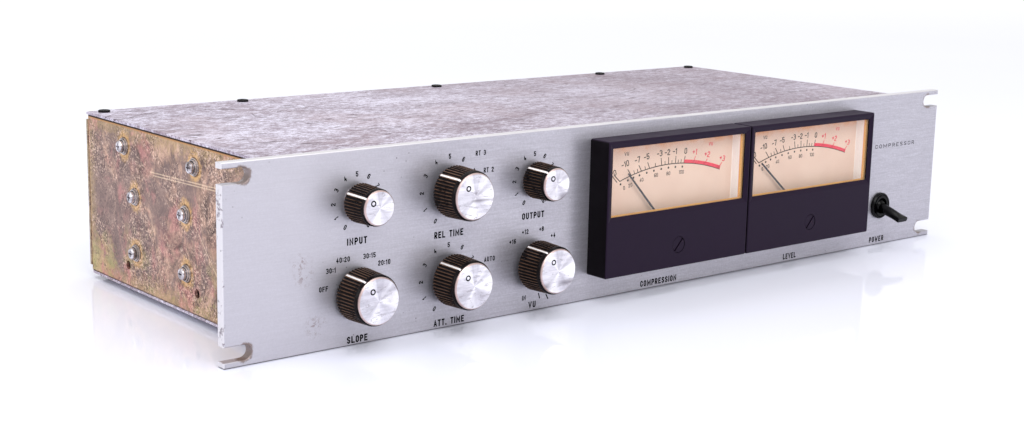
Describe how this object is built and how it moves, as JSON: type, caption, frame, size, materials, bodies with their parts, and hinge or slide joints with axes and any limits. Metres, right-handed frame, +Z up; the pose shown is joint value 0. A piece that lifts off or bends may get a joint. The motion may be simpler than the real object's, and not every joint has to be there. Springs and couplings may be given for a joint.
{
  "type": "rack compressor",
  "caption": "Rack-mounted audio compressor: flanged chassis, front panel with fluted knobs, pointer meters and a power toggle, connectors at the rear.",
  "frame": {"origin": "middle of the front panel's bottom edge, in the plane of the panel's rear face, which meets the rack", "axes": "+X to the user's right along the panel, +Y to the rear, +Z up"},
  "size_m": [0.4826, 0.2125, 0.0881],
  "materials": {
    "panel_aluminium": "brushed and clear anodised",
    "plated_steel": "yellow zinc plated sheet",
    "cover_steel": "plated sheet",
    "rail_aluminium": "mill finish bar",
    "screw_steel": "bright plated",
    "screw_black": "black oxide",
    "knob_plastic": "dark brown moulding",
    "cap_aluminium": "spun",
    "shaft_steel": "turned",
    "control_brass": "plated",
    "meter_plastic": "black moulding",
    "meter_glass": "clear window",
    "card_paper": "printed card",
    "needle_metal": "dark paint",
    "switch_black": "polished black",
    "board_laminate": "glass laminate",
    "component_plastic": "moulded parts",
    "transformer_steel": "black lacquer"
  },
  "bodies": {
    "chassis": {"front_panel": "panel_aluminium", "left_side_plate": "plated_steel", "right_side_plate": "plated_steel", "rear_panel": "plated_steel", "top_cover": "cover_steel", "bottom_cover": "cover_steel", "cross_rails": "rail_aluminium", "board_brackets": "plated_steel", "side_screws": "screw_steel", "side_flat_washers": "screw_steel", "side_lock_washers": "screw_steel", "cover_screws": "screw_black", "flange_screws": "screw_steel", "potentiometers": "control_brass", "rotary_switches": "control_brass", "control_nuts": "screw_steel", "control_washers": "screw_steel", "meter_lenses": "meter_glass", "meter_scale_cards": "card_paper", "meter_movements": "control_brass", "meter_nuts": "screw_steel", "toggle_switch_body": "switch_black", "toggle_nut": "switch_black", "circuit_board": "board_laminate", "board_screws": "screw_steel", "board_parts": "component_plastic", "filter_capacitors": "component_plastic", "power_transformer": "transformer_steel", "audio_transformers": "transformer_steel", "terminal_strip": "switch_black", "terminal_screws": "screw_steel", "mains_inlet": "switch_black", "fuse_holder": "switch_black", "compression_meter_housing": "meter_plastic", "compression_meter_cover": "meter_plastic", "level_meter_housing": "meter_plastic", "level_meter_cover": "meter_plastic"},
    "input_control": {"input_knob": "knob_plastic", "input_knob_cap": "cap_aluminium", "input_shaft": "shaft_steel"},
    "slope_control": {"slope_knob": "knob_plastic", "slope_knob_cap": "cap_aluminium", "slope_shaft": "shaft_steel"},
    "release_control": {"release_knob": "knob_plastic", "release_knob_cap": "cap_aluminium", "release_shaft": "shaft_steel"},
    "attack_control": {"attack_knob": "knob_plastic", "attack_knob_cap": "cap_aluminium", "attack_shaft": "shaft_steel"},
    "output_control": {"output_knob": "knob_plastic", "output_knob_cap": "cap_aluminium", "output_shaft": "shaft_steel"},
    "meter_select_control": {"meter_select_knob": "knob_plastic", "meter_select_knob_cap": "cap_aluminium", "meter_select_shaft": "shaft_steel"},
    "power_lever": {"toggle_lever": "switch_black"},
    "compression_pointer": {"compression_needle": "needle_metal"},
    "compression_zero_adjuster": {"compression_zero_screw": "switch_black"},
    "level_pointer": {"level_needle": "needle_metal"},
    "level_zero_adjuster": {"level_zero_screw": "switch_black"}
  },
  "joints": [
    {"name": "input_turn", "type": "hinge", "parent": "chassis", "child": "input_control", "pos_m": [-0.1744, -0.012, 0.06485], "axis": [0, 1, 0], "range_deg": [-95, 205]},
    {"name": "slope_turn", "type": "hinge", "parent": "chassis", "child": "slope_control", "pos_m": [-0.1744, -0.012, 0.0235], "axis": [0, 1, 0], "range_deg": [-30, 90]},
    {"name": "release_turn", "type": "hinge", "parent": "chassis", "child": "release_control", "pos_m": [-0.1236, -0.012, 0.06485], "axis": [0, 1, 0], "range_deg": [-105, 195]},
    {"name": "attack_turn", "type": "hinge", "parent": "chassis", "child": "attack_control", "pos_m": [-0.1236, -0.012, 0.0235], "axis": [0, 1, 0], "range_deg": [-109, 191]},
    {"name": "output_turn", "type": "hinge", "parent": "chassis", "child": "output_control", "pos_m": [-0.0728, -0.012, 0.06485], "axis": [0, 1, 0], "range_deg": [-108, 192]},
    {"name": "meter_select_turn", "type": "hinge", "parent": "chassis", "child": "meter_select_control", "pos_m": [-0.0728, -0.012, 0.0235], "axis": [0, 1, 0], "range_deg": [-120, 210]},
    {"name": "power_toggle", "type": "hinge", "parent": "chassis", "child": "power_lever", "pos_m": [0.192, -0.004, 0.0234], "axis": [-1, 0, 0], "range_deg": [0, 35]},
    {"name": "compression_pointer_swing", "type": "hinge", "parent": "chassis", "child": "compression_pointer", "pos_m": [0.0134, -0.0116, 0.03], "axis": [0, 1, 0], "range_deg": [-9, 96], "stiffness_Nm_per_rad": 0.0002},
    {"name": "level_pointer_swing", "type": "hinge", "parent": "chassis", "child": "level_pointer", "pos_m": [0.115, -0.0116, 0.03], "axis": [0, 1, 0], "range_deg": [-2.5, 102.5], "stiffness_Nm_per_rad": 0.0002},
    {"name": "compression_zero_turn", "type": "hinge", "parent": "chassis", "child": "compression_zero_adjuster", "pos_m": [0.0134, -0.0168, 0.0246], "axis": [0, 1, 0], "range_deg": [-40, 40]},
    {"name": "level_zero_turn", "type": "hinge", "parent": "chassis", "child": "level_zero_adjuster", "pos_m": [0.115, -0.0168, 0.0246], "axis": [0, 1, 0], "range_deg": [-40, 40]}
  ]
}
